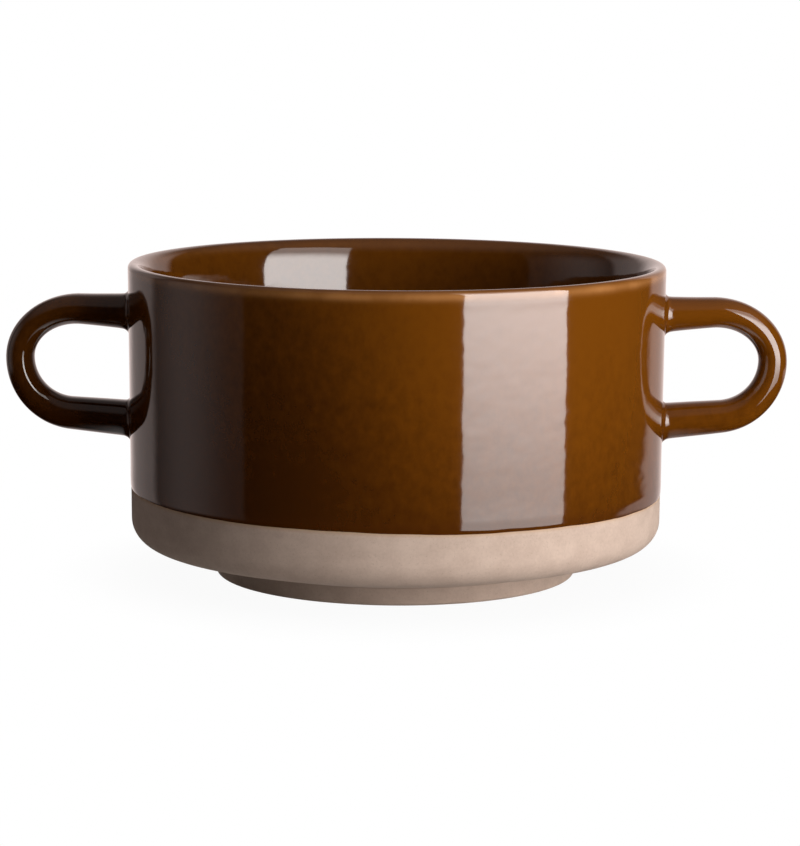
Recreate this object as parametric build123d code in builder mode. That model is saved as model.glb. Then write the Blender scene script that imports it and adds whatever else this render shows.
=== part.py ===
"""Two-handled stoneware soup bowl.

A straight-walled bowl on an inset foot ring, with two D-shaped rod handles luted to its wall. A glaze coat
covers the inside, the rim, the handles and the outer wall down to a line above a band of bare clay.

The bowl stands on the XY plane with its axis on Z, and its handles lie in the XZ plane.
"""

import os
from math import atan, cos, degrees, radians, sin, tan

from build123d import *

# Driving dimensions, in millimetres and degrees

# Bowl
outer_radius = 62.5  # over the glaze, at the rim
height = 72.8  # over the glaze
wall_lean = 0.45  # the wall draws in towards the base by this angle
wall_thickness = 5.5  # clay alone, under the glaze
rim_thickness = 3.5  # clay alone, across the rim's round
rim_taper = 7.5  # the inner face opens by this angle as the wall thins to the rim
rim_taper_blend = 90.0  # radius between that face and the wall below it
floor_thickness = 5.0  # clay alone
inner_corner_radius = 13.0  # between the floor and the wall, inside
base_corner_radius = 5.8  # between the wall and the underside
base_corner_height = 8.6  # of the base corner before it is rounded

# Foot ring
foot_radius = 42.0  # where it meets the table
foot_width = 5.5  # across the face on the table
foot_draft = 7.0  # its sides spread upwards by this angle
foot_edge_radius = 0.8
foot_slip_thickness = 0.4
seat_height = 4.4  # of the flat underside that the foot is luted to
seat_margin = 1.0  # of that flat, around the foot

# Glaze
glaze_thickness = 0.5
glaze_proud = 0.1  # the clay is turned back for the glaze, which stands out this far over the bare band
glaze_line = 20.0  # height of the glaze edge on the outer wall
glaze_lip_radius = 0.3  # the edge is rounded

# Handles, over the glaze
handle_projection = 28.75  # from the wall at the rim to the outermost point
handle_drop = 22.7  # from the rim down to the outermost point
upper_bend_length = 13.6  # along the upper arm, of the oval bend in the rod's centre line
upper_bend_height = 11.4  # from the outermost point up to the top of that bend
lower_bend_radius = 13.2  # of the round bend below it
upper_arm_rise = 2.8  # the upper arm rises away from the wall
lower_arm_drop = 5.0  # the lower arm falls towards the wall
upper_root_thickness = 8.8  # seen from the front
upper_arm_thickness = 7.2
tip_thickness = 6.7
lower_arm_thickness = 7.8
lower_root_thickness = 8.6
root_width = 10.4  # front to back
arm_width = 9.2
tip_width = 8.8
root_fillet = 1.5  # glaze pooled between the handle and the wall
root_border = 0.8  # glaze around that fillet that belongs to the handle

# Slip that lutes the handles on
handle_slip_thickness = 0.5
slip_collar = 1.2  # width of the wiped collar around a root

# Derived places on the bowl's section, as radius and height
clay_radius = outer_radius - glaze_thickness
rim_radius = rim_thickness / 2
rim_centre_radius = clay_radius - rim_radius
rim_centre_height = height - glaze_thickness - rim_radius
floor_height = seat_height + floor_thickness
foot_height = seat_height - foot_slip_thickness
foot_spread = foot_height * tan(radians(foot_draft))
foot_inner_radius = foot_radius - foot_width
seat_radius = foot_radius + foot_spread + seat_margin
bare_band = glaze_thickness - glaze_proud  # the bare clay stands out this far over the clay under the glaze


def outer_wall(at_height: float, grown: float = 0.0) -> tuple[float, float]:
    """Point of the clay's leaning outer face under the glaze, grown outwards."""
    drawn_in = (rim_centre_height - at_height) * tan(radians(wall_lean))
    return (clay_radius - drawn_in + grown, at_height)


def inner_wall(at_height: float, grown: float = 0.0) -> tuple[float, float]:
    """Point of the clay's inner face below the rim's taper, grown towards the axis."""
    radius, _ = outer_wall(at_height)
    return (radius - wall_thickness - grown, at_height)


def rim_inside(grown: float = 0.0) -> tuple[float, float]:
    """Point inside the bowl where the rim's round runs into its taper, grown towards the axis."""
    radius = rim_radius + grown
    taper = radians(rim_taper)
    return (rim_centre_radius - radius * cos(taper), rim_centre_height + radius * sin(taper))


def taper_foot(grown: float = 0.0) -> tuple[float, float]:
    """Point where the rim's taper meets the inner wall below it, grown towards the axis."""
    wall_radius, _ = inner_wall(rim_centre_height, grown)
    taper_radius = rim_centre_radius - (rim_radius + grown) / cos(radians(rim_taper))
    closing = tan(radians(rim_taper)) - tan(radians(wall_lean))
    return inner_wall(rim_centre_height - (taper_radius - wall_radius) / closing, grown)


# Bowl body: wall, rounded rim and floor in one turned section
with BuildPart() as bowl_body:
    with BuildSketch(Plane.YZ) as body_section:
        base_corner = outer_wall(base_corner_height, bare_band)
        inner_corner = inner_wall(floor_height)
        with BuildLine():
            Polyline(
                (0, seat_height),
                (seat_radius, seat_height),
                base_corner,
                outer_wall(glaze_line, bare_band),
                outer_wall(glaze_line),
                outer_wall(rim_centre_height),
            )
            ThreePointArc(
                outer_wall(rim_centre_height),
                (rim_centre_radius, height - glaze_thickness),
                rim_inside(),
            )
            Polyline(rim_inside(), taper_foot(), inner_corner, (0, floor_height), (0, seat_height))
        make_face()
        fillet(body_section.vertices().sort_by_distance(base_corner)[0], base_corner_radius)
        fillet(body_section.vertices().sort_by_distance(inner_corner)[0], inner_corner_radius)
        fillet(body_section.vertices().sort_by_distance(taper_foot())[0], rim_taper_blend)
    revolve(axis=Axis.Z)
bowl_body.part.label = "bowl_body"

# Foot ring: a drafted ring with rounded lower edges
with BuildPart() as foot_ring:
    with BuildSketch(Plane.YZ) as foot_section:
        with BuildLine():
            Polyline(
                (foot_inner_radius, 0),
                (foot_radius, 0),
                (foot_radius + foot_spread, foot_height),
                (foot_inner_radius - foot_spread, foot_height),
                close=True,
            )
        make_face()
        fillet(foot_section.vertices().group_by(Axis.Y)[0], foot_edge_radius)
    revolve(axis=Axis.Z)
foot_ring.part.label = "foot_ring"

# Bed of slip between the foot ring and its seat
with BuildPart() as foot_slip:
    with BuildSketch(Plane.XY.offset(foot_height)):
        Circle(foot_radius + foot_spread)
        Circle(foot_inner_radius - foot_spread, mode=Mode.SUBTRACT)
    extrude(amount=foot_slip_thickness)
foot_slip.part.label = "foot_slip"

# Glaze coat of the bowl, from the middle of the floor up over the rim and down to the glaze line
with BuildSketch(Plane.YZ) as glaze_section:
    glaze_edge = outer_wall(glaze_line, glaze_thickness)
    glazed_corner = inner_wall(floor_height + glaze_thickness, glaze_thickness)
    with BuildLine():
        Polyline(
            (0, floor_height + glaze_thickness),
            glazed_corner,
            taper_foot(glaze_thickness),
            rim_inside(glaze_thickness),
        )
        ThreePointArc(
            rim_inside(glaze_thickness),
            (rim_centre_radius, height),
            outer_wall(rim_centre_height, glaze_thickness),
        )
        Polyline(
            outer_wall(rim_centre_height, glaze_thickness),
            glaze_edge,
            outer_wall(glaze_line),
            outer_wall(rim_centre_height),
        )
        ThreePointArc(
            outer_wall(rim_centre_height),
            (rim_centre_radius, height - glaze_thickness),
            rim_inside(),
        )
        Polyline(
            rim_inside(),
            taper_foot(),
            inner_corner,
            (0, floor_height),
            (0, floor_height + glaze_thickness),
        )
    make_face()
    fillet(glaze_section.vertices().sort_by_distance(inner_corner)[0], inner_corner_radius)
    fillet(glaze_section.vertices().sort_by_distance(glazed_corner)[0], inner_corner_radius - glaze_thickness)
    fillet(glaze_section.vertices().sort_by_distance(taper_foot())[0], rim_taper_blend)
    glazed_taper_foot = taper_foot(glaze_thickness)
    fillet(glaze_section.vertices().sort_by_distance(glazed_taper_foot)[0], rim_taper_blend + glaze_thickness)
    fillet(glaze_section.vertices().sort_by_distance(glaze_edge)[0], glaze_lip_radius)

# Centre line of the right handle, from the upper root round the tip to the lower root
tip_x = outer_radius + handle_projection - tip_thickness / 2
tip_z = height - handle_drop
upper_bend_centre = (tip_x - upper_bend_length, tip_z)
lower_bend_centre = (tip_x - lower_bend_radius, tip_z)
upper_slope = tan(radians(upper_arm_rise))
lower_slope = tan(radians(lower_arm_drop))
upper_bend_turn = 90 + degrees(atan(upper_slope * upper_bend_length / upper_bend_height))
upper_bend_x = upper_bend_centre[0] + upper_bend_length * cos(radians(upper_bend_turn))
upper_bend_z = tip_z + upper_bend_height * sin(radians(upper_bend_turn))
lower_bend_x = lower_bend_centre[0] + lower_bend_radius * sin(radians(lower_arm_drop))
lower_bend_z = tip_z - lower_bend_radius * cos(radians(lower_arm_drop))
with BuildLine(Plane.XZ) as handle_line:
    upper_arm = Line(
        (rim_centre_radius, upper_bend_z - (upper_bend_x - rim_centre_radius) * upper_slope),
        (upper_bend_x, upper_bend_z),
    )
    upper_bend = EllipticalCenterArc(
        upper_bend_centre,
        upper_bend_length,
        upper_bend_height,
        start_angle=upper_bend_turn,
        arc_size=-upper_bend_turn,
    )
    lower_bend = CenterArc(lower_bend_centre, lower_bend_radius, 0, lower_arm_drop - 90)
    lower_arm = Line(
        (lower_bend_x, lower_bend_z),
        (rim_centre_radius, lower_bend_z - (lower_bend_x - rim_centre_radius) * lower_slope),
    )


def rod_section(edge: Edge, place: float, thickness: float, width: float) -> Sketch:
    """Oval section of the rod, square to an edge of its centre line."""
    with BuildSketch(Plane(origin=edge @ place, x_dir=(0, 1, 0), z_dir=edge % place)) as section:
        Ellipse(width / 2, thickness / 2)
    return section.sketch


def rod_sections(skin: float) -> list[Sketch]:
    """The rod's sections from root to root, with a skin taken off all round."""
    return [
        rod_section(upper_arm, 0, upper_root_thickness - 2 * skin, root_width - 2 * skin),
        rod_section(upper_bend, 0, upper_arm_thickness - 2 * skin, arm_width - 2 * skin),
        rod_section(upper_bend, 1, tip_thickness - 2 * skin, tip_width - 2 * skin),
        rod_section(lower_bend, 1, lower_arm_thickness - 2 * skin, arm_width - 2 * skin),
        rod_section(lower_arm, 1, lower_root_thickness - 2 * skin, root_width - 2 * skin),
    ]


def wall_core(grown: float) -> Sketch:
    """Half section of all that lies inside the outer wall, grown outwards."""
    with BuildSketch(Plane.YZ) as section:
        with BuildLine():
            Polyline(
                (0, glaze_line),
                outer_wall(glaze_line, grown),
                outer_wall(rim_centre_height, grown),
                (0, rim_centre_height),
                close=True,
            )
        make_face()
    return section.sketch


# Right handle: the clay rod, its ends cut to the wall and kept off it by the slip
with BuildPart() as right_handle:
    sweep(rod_sections(glaze_thickness), path=handle_line.line, multisection=True)
    revolve(wall_core(handle_slip_thickness), axis=Axis.Z, mode=Mode.SUBTRACT)
right_handle.part.label = "right_handle"

# All that the right handle's glaze covers: an oval of the wall around each root, and the loop beyond them
roots = (
    (upper_arm @ 0, upper_root_thickness),
    (lower_arm @ 1, lower_root_thickness),
)
loop_start = outer_radius + root_fillet
loop_end = tip_x + tip_thickness
loop_width = root_width + 2 * root_fillet
with BuildPart() as root_region:
    for root_end, root_thickness in roots:
        with BuildSketch(Plane.YZ.offset(rim_centre_radius)):
            with Locations((0, root_end.Z)):
                covered = root_fillet + root_border
                Ellipse(root_width / 2 + covered, root_thickness / 2 + covered)
        extrude(amount=loop_start + root_border - rim_centre_radius)
with BuildPart() as handle_region:
    add(root_region.part)
    with Locations(((loop_start + loop_end) / 2, 0, rim_centre_height / 2)):
        Box(loop_end - loop_start, loop_width, rim_centre_height)

# Right handle's slip: a pad under each end of the rod, wiped out to a collar around it
with BuildPart() as right_handle_slip:
    revolve(wall_core(0), axis=Axis.Z)
    sweep(rod_sections(glaze_thickness), path=handle_line.line, multisection=True)
    slip_edges = right_handle_slip.edges().filter_by_position(Axis.X, rim_centre_radius, outer_radius)
    chamfer(slip_edges, slip_collar)
    add(root_region.part, mode=Mode.INTERSECT)
    add(bowl_body.part, mode=Mode.SUBTRACT)
    add(right_handle.part, mode=Mode.SUBTRACT)
right_handle_slip.part.label = "right_handle_slip"

# Right handle's glaze: the coat over the rod, run out to the wall in a fillet around each root
with BuildPart() as right_handle_glaze:
    revolve(wall_core(glaze_thickness), axis=Axis.Z)
    sweep(rod_sections(0), path=handle_line.line, multisection=True)
    root_edges = right_handle_glaze.edges().filter_by_position(Axis.X, rim_centre_radius, outer_radius)
    fillet(root_edges, root_fillet)
    add(handle_region.part, mode=Mode.INTERSECT)
    add(bowl_body.part, mode=Mode.SUBTRACT)
    add(right_handle.part, mode=Mode.SUBTRACT)
    add(right_handle_slip.part, mode=Mode.SUBTRACT)
right_handle_glaze.part.label = "right_handle_glaze"

# Bowl's glaze: the coat of the section above, open where the handles are luted on
with BuildPart() as bowl_glaze:
    revolve(glaze_section.sketch, axis=Axis.Z)
    add(handle_region.part, mode=Mode.SUBTRACT)
    mirror(handle_region.part, about=Plane.YZ, mode=Mode.SUBTRACT)
bowl_glaze.part.label = "bowl_glaze"

# The left handle mirrors the right one
with BuildPart() as left_handle:
    mirror(right_handle.part, about=Plane.YZ)
left_handle.part.label = "left_handle"
with BuildPart() as left_handle_slip:
    mirror(right_handle_slip.part, about=Plane.YZ)
left_handle_slip.part.label = "left_handle_slip"
with BuildPart() as left_handle_glaze:
    mirror(right_handle_glaze.part, about=Plane.YZ)
left_handle_glaze.part.label = "left_handle_glaze"

os.makedirs("parts", exist_ok=True)
export_step(bowl_body.part, "parts/bowl_body.step")
export_step(foot_ring.part, "parts/foot_ring.step")
export_step(foot_slip.part, "parts/foot_slip.step")
export_step(bowl_glaze.part, "parts/bowl_glaze.step")
export_step(left_handle.part, "parts/left_handle.step")
export_step(left_handle_slip.part, "parts/left_handle_slip.step")
export_step(left_handle_glaze.part, "parts/left_handle_glaze.step")
export_step(right_handle.part, "parts/right_handle.step")
export_step(right_handle_slip.part, "parts/right_handle_slip.step")
export_step(right_handle_glaze.part, "parts/right_handle_glaze.step")
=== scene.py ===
"""Looks of a two-handled stoneware soup bowl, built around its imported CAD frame.

The bowl stands on the floor at the origin with its axis on Z and its handles along X. The viewer of the
photograph stands on the -Y side. Every length is in metres, and a size in millimetres is written times MM.
"""

from __future__ import annotations

import logging
from collections.abc import Iterable, Sequence
from dataclasses import dataclass, field
from enum import Enum
from math import atan2, ceil, cos, exp, hypot, pi, radians, sin, sqrt, tan

import bmesh
import bpy
from mathutils import Matrix, Vector, noise

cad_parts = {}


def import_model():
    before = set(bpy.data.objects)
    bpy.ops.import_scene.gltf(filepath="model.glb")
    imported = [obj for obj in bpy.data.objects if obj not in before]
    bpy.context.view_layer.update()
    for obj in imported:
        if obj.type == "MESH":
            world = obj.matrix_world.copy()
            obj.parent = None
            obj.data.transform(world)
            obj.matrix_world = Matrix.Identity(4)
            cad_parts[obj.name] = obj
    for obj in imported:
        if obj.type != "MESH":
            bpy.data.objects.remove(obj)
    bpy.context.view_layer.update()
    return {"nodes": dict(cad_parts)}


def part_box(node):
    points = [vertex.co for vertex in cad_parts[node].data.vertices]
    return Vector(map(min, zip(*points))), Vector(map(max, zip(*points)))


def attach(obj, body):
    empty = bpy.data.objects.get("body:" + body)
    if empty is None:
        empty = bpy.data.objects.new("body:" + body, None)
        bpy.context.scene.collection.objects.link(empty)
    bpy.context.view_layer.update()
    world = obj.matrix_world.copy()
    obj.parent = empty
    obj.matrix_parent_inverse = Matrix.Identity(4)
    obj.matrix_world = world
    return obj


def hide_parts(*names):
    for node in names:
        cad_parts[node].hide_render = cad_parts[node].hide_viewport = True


MM = 0.001
FULL_TURN = 2 * pi
ARC_STEP = radians(6)
LEAST_ARC_STEPS = 4
SHARP_ANGLE = radians(45)
WHITE = (1.0, 1.0, 1.0)
ROOT_BODY = "root"
LOG = logging.getLogger("soup_bowl")

Colour = tuple[float, float, float]
Flat = tuple[float, float]
Solid = tuple[float, float, float]

SLIP_PALE: Colour = (0.53, 0.415, 0.345)


class Slot(Enum):
    """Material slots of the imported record."""

    CLAY = "clay"
    SLIP = "slip"
    GLAZE = "glaze"


class Mark(Enum):
    """Values kept on a mesh's points for its finish to read, from 0 to 1."""

    THIN = "glaze_thin"
    POOLED = "glaze_pooled"
    STAINED = "clay_stained"


class Side(Enum):
    """Sides of the bowl that carry a handle, with the sign of X there."""

    LEFT = -1
    RIGHT = 1


class Signal:
    """A shader socket that takes part in Python expressions."""

    def __init__(self, nodes: Nodes, socket: bpy.types.NodeSocket) -> None:
        """Keeps the socket and the tree that it belongs to."""
        self.nodes = nodes
        self.socket = socket

    def _math(self, operation: str, first: Signal | float, second: Signal | float) -> Signal:
        """Adds one Math node."""
        return self.nodes.add("ShaderNodeMath", {"operation": operation}, {0: first, 1: second})

    def __add__(self, other: Signal | float) -> Signal:
        """Sum of two values."""
        return self._math("ADD", self, other)

    def __radd__(self, other: float) -> Signal:
        """Sum with a number on the left."""
        return self._math("ADD", other, self)

    def __sub__(self, other: Signal | float) -> Signal:
        """Difference of two values."""
        return self._math("SUBTRACT", self, other)

    def __rsub__(self, other: float) -> Signal:
        """Difference with a number on the left."""
        return self._math("SUBTRACT", other, self)

    def __mul__(self, other: Signal | float) -> Signal:
        """Product of two values."""
        return self._math("MULTIPLY", self, other)

    def __rmul__(self, other: float) -> Signal:
        """Product with a number on the left."""
        return self._math("MULTIPLY", other, self)

    def __abs__(self) -> Signal:
        """Size of a value without its sign."""
        return self._math("ABSOLUTE", self, 0.0)

    def eased(self, start: float, end: float) -> Signal:
        """Smooth step of a value.

        Args:
            start: Value that gives 0.
            end: Value that gives 1.

        Returns:
            A value from 0 to 1.
        """
        inputs = {"Value": self, "From Min": start, "From Max": end}
        return self.nodes.add("ShaderNodeMapRange", {"interpolation_type": "SMOOTHSTEP"}, inputs)

    def output(self, name: str) -> Signal:
        """Another output of the node that this socket is on."""
        return Signal(self.nodes, self.socket.node.outputs[name])


@dataclass(frozen=True)
class Grain:
    """Noise over a surface: its patches per metre, factors on that along each axis, and finer layers."""

    scale: float
    stretch: Solid = (1.0, 1.0, 1.0)
    detail: float = 2.0


class Nodes:
    """Adds nodes to one shader tree."""

    def __init__(self, tree: bpy.types.NodeTree) -> None:
        """Clears the tree."""
        self.tree = tree
        tree.nodes.clear()

    def add(
        self,
        kind: str,
        settings: dict[str, object] | None = None,
        inputs: dict[str | int, object] | None = None,
        output: str | int = 0,
    ) -> Signal:
        """Adds one node of any type.

        Args:
            kind: Blender's name of the node's type.
            settings: The node's own settings.
            inputs: Values or signals for its sockets, by name or place.
            output: The socket that is returned, by name or place.

        Returns:
            The chosen output.
        """
        node = self.tree.nodes.new(kind)
        for name, value in (settings or {}).items():
            setattr(node, name, value)
        for name, value in (inputs or {}).items():
            if isinstance(value, Signal):
                self.tree.links.new(value.socket, node.inputs[name])
            else:
                node.inputs[name].default_value = value
        return Signal(self, node.outputs[output] if node.outputs else node.inputs[0])

    def mix(self, share: Signal | float, first: Signal | Colour, second: Signal | Colour) -> Signal:
        """Mixes two colours.

        Args:
            share: How much of the second colour there is.
            first: Colour at 0.
            second: Colour at 1.

        Returns:
            The mixed colour.
        """
        colours = [colour if isinstance(colour, Signal) else (*colour, 1.0) for colour in (first, second)]
        return self.add("ShaderNodeMix", {"data_type": "RGBA"}, {0: share, 6: colours[0], 7: colours[1]}, 2)

    def grain(self, grain: Grain) -> Signal:
        """Noise over the object, in its own metres.

        Args:
            grain: Its pitch, its stretch and its layers.

        Returns:
            A value around a half.
        """
        place = self.add("ShaderNodeTexCoord", output="Object")
        scaled = self.add("ShaderNodeMapping", inputs={"Vector": place, "Scale": grain.stretch})
        inputs = {"Vector": scaled, "Scale": grain.scale, "Detail": grain.detail}
        return self.add("ShaderNodeTexNoise", inputs=inputs)

    def mark(self, mark: Mark) -> Signal:
        """Value that a mesh keeps on its points."""
        return self.add("ShaderNodeAttribute", {"attribute_name": mark.value}, output="Fac")

    def bump(self, heights: Signal, strength: float, distance: float) -> Signal:
        """Normal of a surface with small heights on it.

        Args:
            heights: Heights from 0 to 1.
            strength: How strongly they tilt the surface.
            distance: Height in metres that 1 stands for.

        Returns:
            The tilted normal.
        """
        inputs = {"Height": heights, "Strength": strength, "Distance": distance}
        return self.add("ShaderNodeBump", inputs=inputs)

    def finish(self, inputs: dict[str | int, object]) -> None:
        """Adds the surface shader and the output."""
        shader = self.add("ShaderNodeBsdfPrincipled", inputs=inputs)
        self.add("ShaderNodeOutputMaterial", inputs={"Surface": shader})


def new_material(name: str) -> tuple[bpy.types.Material, Nodes]:
    """Makes an empty node material.

    Args:
        name: The material's name.

    Returns:
        The material and its nodes.
    """
    material = bpy.data.materials.new(name)
    material.use_nodes = True
    return material, Nodes(material.node_tree)


@dataclass(frozen=True)
class GlazeFinish:
    """Glossy amber-brown glaze, pale where it breaks over an edge and dark where it pools.

    Its flow says how thin it lies: up the wall, inside the bowl and in its mottling. Outside it also
    carries painted
    light and shade: it turns amber towards the lit right and brown towards the shaded left. The flow turns
    it from brown to amber.
    """

    amber: Colour = (0.155, 0.047, 0.0025)
    brown: Colour = (0.06, 0.016, 0.001)
    broken: Colour = (0.38, 0.165, 0.05)
    pooled: Colour = (0.075, 0.02, 0.002)
    roughness: float = 0.035
    roughness_spread: float = 0.05
    refraction: float = 1.8
    thick_height: float = 24.0 * MM
    thin_height: float = 77.0 * MM
    # Painted light and shade: across this reach the outside glaze runs from brown on the shaded left to
    # amber on the lit right.
    painted_light_reach: float = 35.0 * MM
    painted_light_flow: Flat = (-0.25, 0.45)
    inside_reach: float = 58.5 * MM
    rim_reach: float = 60.5 * MM
    inside_flow: float = -0.05
    cloud: Grain = Grain(60.0, (1.0, 1.0, 0.35), 4.0)
    cloud_flow: float = 0.65
    weave: Grain = Grain(480.0, (1.0, 1.0, 0.8), 4.0)
    weave_flow: float = 0.8
    speck: Grain = Grain(1300.0, (1.0, 1.0, 0.7))
    speck_flow: float = 0.25
    flow_range: Flat = (-0.25, 1.25)
    breaks: Grain = Grain(130.0, detail=3.0)
    break_range: Flat = (0.35, 0.65)
    break_share: float = 0.4
    peel: Grain = Grain(210.0, (1.0, 1.0, 1.3), 1.0)
    peel_height: float = 0.03 * MM

    def material(self) -> bpy.types.Material:
        """Builds the glaze's material.

        Returns:
            The material.
        """
        material, nodes = new_material("amber_glaze")
        place = nodes.add("ShaderNodeTexCoord", output="Object")
        parts = nodes.add("ShaderNodeSeparateXYZ", inputs={0: place})
        flat = nodes.add("ShaderNodeVectorMath", {"operation": "MULTIPLY"}, {0: place, 1: (1.0, 1.0, 0.0)})
        reach = nodes.add("ShaderNodeVectorMath", {"operation": "LENGTH"}, {0: flat}, "Value")
        inside = 1.0 - reach.eased(self.inside_reach, self.rim_reach)
        rise = (parts.output("Z") - self.thick_height) * (1.0 / (self.thin_height - self.thick_height))
        left, right = self.painted_light_flow
        # Painted light and shade: the outside turns amber towards the lit right side and brown towards the
        # shaded left side.
        painted_light = parts.eased(-self.painted_light_reach, self.painted_light_reach) * (right - left) + left
        speck = nodes.grain(self.speck)
        flow = rise + painted_light * (1.0 - inside) + self.inside_flow * inside
        flow = flow + (nodes.grain(self.cloud) - 0.5) * self.cloud_flow
        flow = flow + (nodes.grain(self.weave) - 0.5) * self.weave_flow
        flow = flow + (speck - 0.5) * self.speck_flow
        body = nodes.mix(flow.eased(*self.flow_range), self.brown, self.amber)
        breaks = nodes.grain(self.breaks).eased(*self.break_range)
        thin = nodes.mark(Mark.THIN) * ((1.0 - self.break_share) + self.break_share * breaks)
        broken = nodes.mix(thin, body, self.broken)
        nodes.finish(
            {
                "Base Color": nodes.mix(nodes.mark(Mark.POOLED), broken, self.pooled),
                "Roughness": self.roughness + self.roughness_spread * speck,
                "IOR": self.refraction,
                "Normal": nodes.bump(nodes.grain(self.peel), 1.0, self.peel_height),
            }
        )
        return material


@dataclass(frozen=True)
class ClayFinish:
    """Bare fired stoneware, matte, with iron specks and fine turning marks."""

    name: str = "bare_clay"
    pale: Colour = (0.595, 0.468, 0.386)
    dark: Colour = (0.5, 0.382, 0.311)
    iron: Colour = (0.33, 0.24, 0.18)
    stain: Colour = (0.5, 0.3, 0.14)
    roughness: float = 0.88
    roughness_spread: float = 0.1
    cloud: Grain = Grain(190.0, (1.0, 1.0, 1.4), 5.0)
    sand: Grain = Grain(1500.0, detail=3.0)
    turned: Grain = Grain(40.0, (1.0, 1.0, 22.0), 3.0)
    ground_shares: Solid = (0.6, 0.3, 0.1)
    ground_range: Flat = (0.3, 0.7)
    specks: Grain = Grain(2600.0, detail=1.0)
    speck_range: Flat = (0.62, 0.74)
    speck_share: float = 0.3
    tooth: Grain = Grain(2200.0, detail=3.0)
    relief_shares: Flat = (0.6, 0.4)
    relief_strength: float = 0.25
    relief_height: float = 0.15 * MM

    def material(self) -> bpy.types.Material:
        """Builds the clay's material.

        Returns:
            The material.
        """
        material, nodes = new_material(self.name)
        turned = nodes.grain(self.turned)
        tooth = nodes.grain(self.tooth)
        by_cloud, by_sand, by_turning = self.ground_shares
        ground = nodes.grain(self.cloud) * by_cloud + nodes.grain(self.sand) * by_sand + turned * by_turning
        mottled = nodes.mix(ground.eased(*self.ground_range), self.dark, self.pale)
        specks = nodes.grain(self.specks).eased(*self.speck_range)
        speckled = nodes.mix(specks * self.speck_share, mottled, self.iron)
        by_tooth, by_marks = self.relief_shares
        relief = tooth * by_tooth + turned * by_marks
        nodes.finish(
            {
                "Base Color": nodes.mix(nodes.mark(Mark.STAINED), speckled, self.stain),
                "Roughness": self.roughness + self.roughness_spread * (tooth - 0.5),
                "Normal": nodes.bump(relief, self.relief_strength, self.relief_height),
            }
        )
        return material


@dataclass
class Skin:
    """A mesh in the making: its points, its faces and the marks that its finish reads."""

    points: list[Solid] = field(default_factory=list)
    faces: list[tuple[int, ...]] = field(default_factory=list)
    marks: dict[Mark, list[float]] = field(default_factory=lambda: {mark: [] for mark in Mark})

    def ring(
        self,
        points: Iterable[Solid],
        thin: float = 0.0,
        pooled: float = 0.0,
        stained: float = 0.0,
    ) -> list[int]:
        """Adds a row of points.

        Args:
            points: Where they are.
            thin: How thin the glaze is there.
            pooled: How much of it has run together there.
            stained: How much the glaze has coloured the clay there.

        Returns:
            Their numbers.
        """
        first = len(self.points)
        self.points.extend(points)
        added = len(self.points) - first
        for mark, value in ((Mark.THIN, thin), (Mark.POOLED, pooled), (Mark.STAINED, stained)):
            self.marks[mark].extend([value] * added)
        return list(range(first, first + added))

    def bridge(self, one: Sequence[int], other: Sequence[int]) -> None:
        """Joins two closed rows of equal length by four-sided faces.

        Args:
            one: Numbers of the first row's points.
            other: Numbers of the second row's points.
        """
        for place in range(len(one)):
            after = (place + 1) % len(one)
            self.faces.append((one[place], one[after], other[after], other[place]))

    def chain(self, rings: Sequence[Sequence[int]]) -> None:
        """Joins closed rows one after another."""
        for one, other in zip(rings, rings[1:]):
            self.bridge(one, other)

    def fan(self, row: Sequence[int], centre: Solid) -> None:
        """Closes a row of points towards one point.

        Args:
            row: Numbers of the row's points.
            centre: Where the one point is.
        """
        middle = self.ring([centre])[0]
        for place in range(len(row)):
            self.faces.append((row[place], row[(place + 1) % len(row)], middle))

    def piece(self, name: str, material: bpy.types.Material) -> bpy.types.Object:
        """Turns the skin into an object with smooth faces.

        Args:
            name: Name of the piece.
            material: Its finish.

        Returns:
            The new object.
        """
        mesh = bpy.data.meshes.new(name)
        mesh.from_pydata(self.points, [], self.faces)
        for mark, values in self.marks.items():
            mesh.attributes.new(mark.value, "FLOAT", "POINT").data.foreach_set("value", values)
        shape = bmesh.new()
        shape.from_mesh(mesh)
        loose = [vertex for vertex in shape.verts if not vertex.link_faces]
        bmesh.ops.delete(shape, geom=loose, context="VERTS")
        bmesh.ops.recalc_face_normals(shape, faces=shape.faces)
        shape.to_mesh(mesh)
        shape.free()
        mesh.shade_smooth()
        mesh.set_sharp_from_angle(angle=SHARP_ANGLE)
        mesh.materials.append(material)
        piece = bpy.data.objects.new(name, mesh)
        bpy.context.scene.collection.objects.link(piece)
        return piece


def rounded_corner(before: Flat, corner: Flat, after: Flat, radius: float) -> list[Flat]:
    """Points of the arc that rounds a corner of an outline.

    Args:
        before: A point on the run that comes in.
        corner: The sharp corner.
        after: A point on the run that goes out.
        radius: Radius of the arc.

    Returns:
        Points from one tangent point to the other.
    """
    middle = Vector(corner)
    way_in = (Vector(before) - middle).normalized()
    way_out = (Vector(after) - middle).normalized()
    half = way_in.angle(way_out) / 2
    centre = middle + (way_in + way_out).normalized() * (radius / sin(half))
    start = middle + way_in * (radius / tan(half)) - centre
    turn = -start.angle_signed(middle + way_out * (radius / tan(half)) - centre)
    count = max(LEAST_ARC_STEPS, ceil(abs(turn) / ARC_STEP))
    arc = []
    for step in range(count + 1):
        spoke = centre + Matrix.Rotation(turn * step / count, 2) @ start
        arc.append((spoke.x, spoke.y))
    return arc


def spaced(points: Sequence[Flat], spacing: float) -> list[Flat]:
    """Divides the runs of an outline so that none is longer than a spacing.

    Args:
        points: The outline.
        spacing: Longest run that is left.

    Returns:
        The outline with the added points.
    """
    divided = [points[0]]
    for (start_r, start_z), (end_r, end_z) in zip(points, points[1:]):
        count = max(1, ceil(hypot(end_r - start_r, end_z - start_z) / spacing))
        for step in range(1, count + 1):
            share = step / count
            divided.append((start_r + (end_r - start_r) * share, start_z + (end_z - start_z) * share))
    return divided


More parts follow.
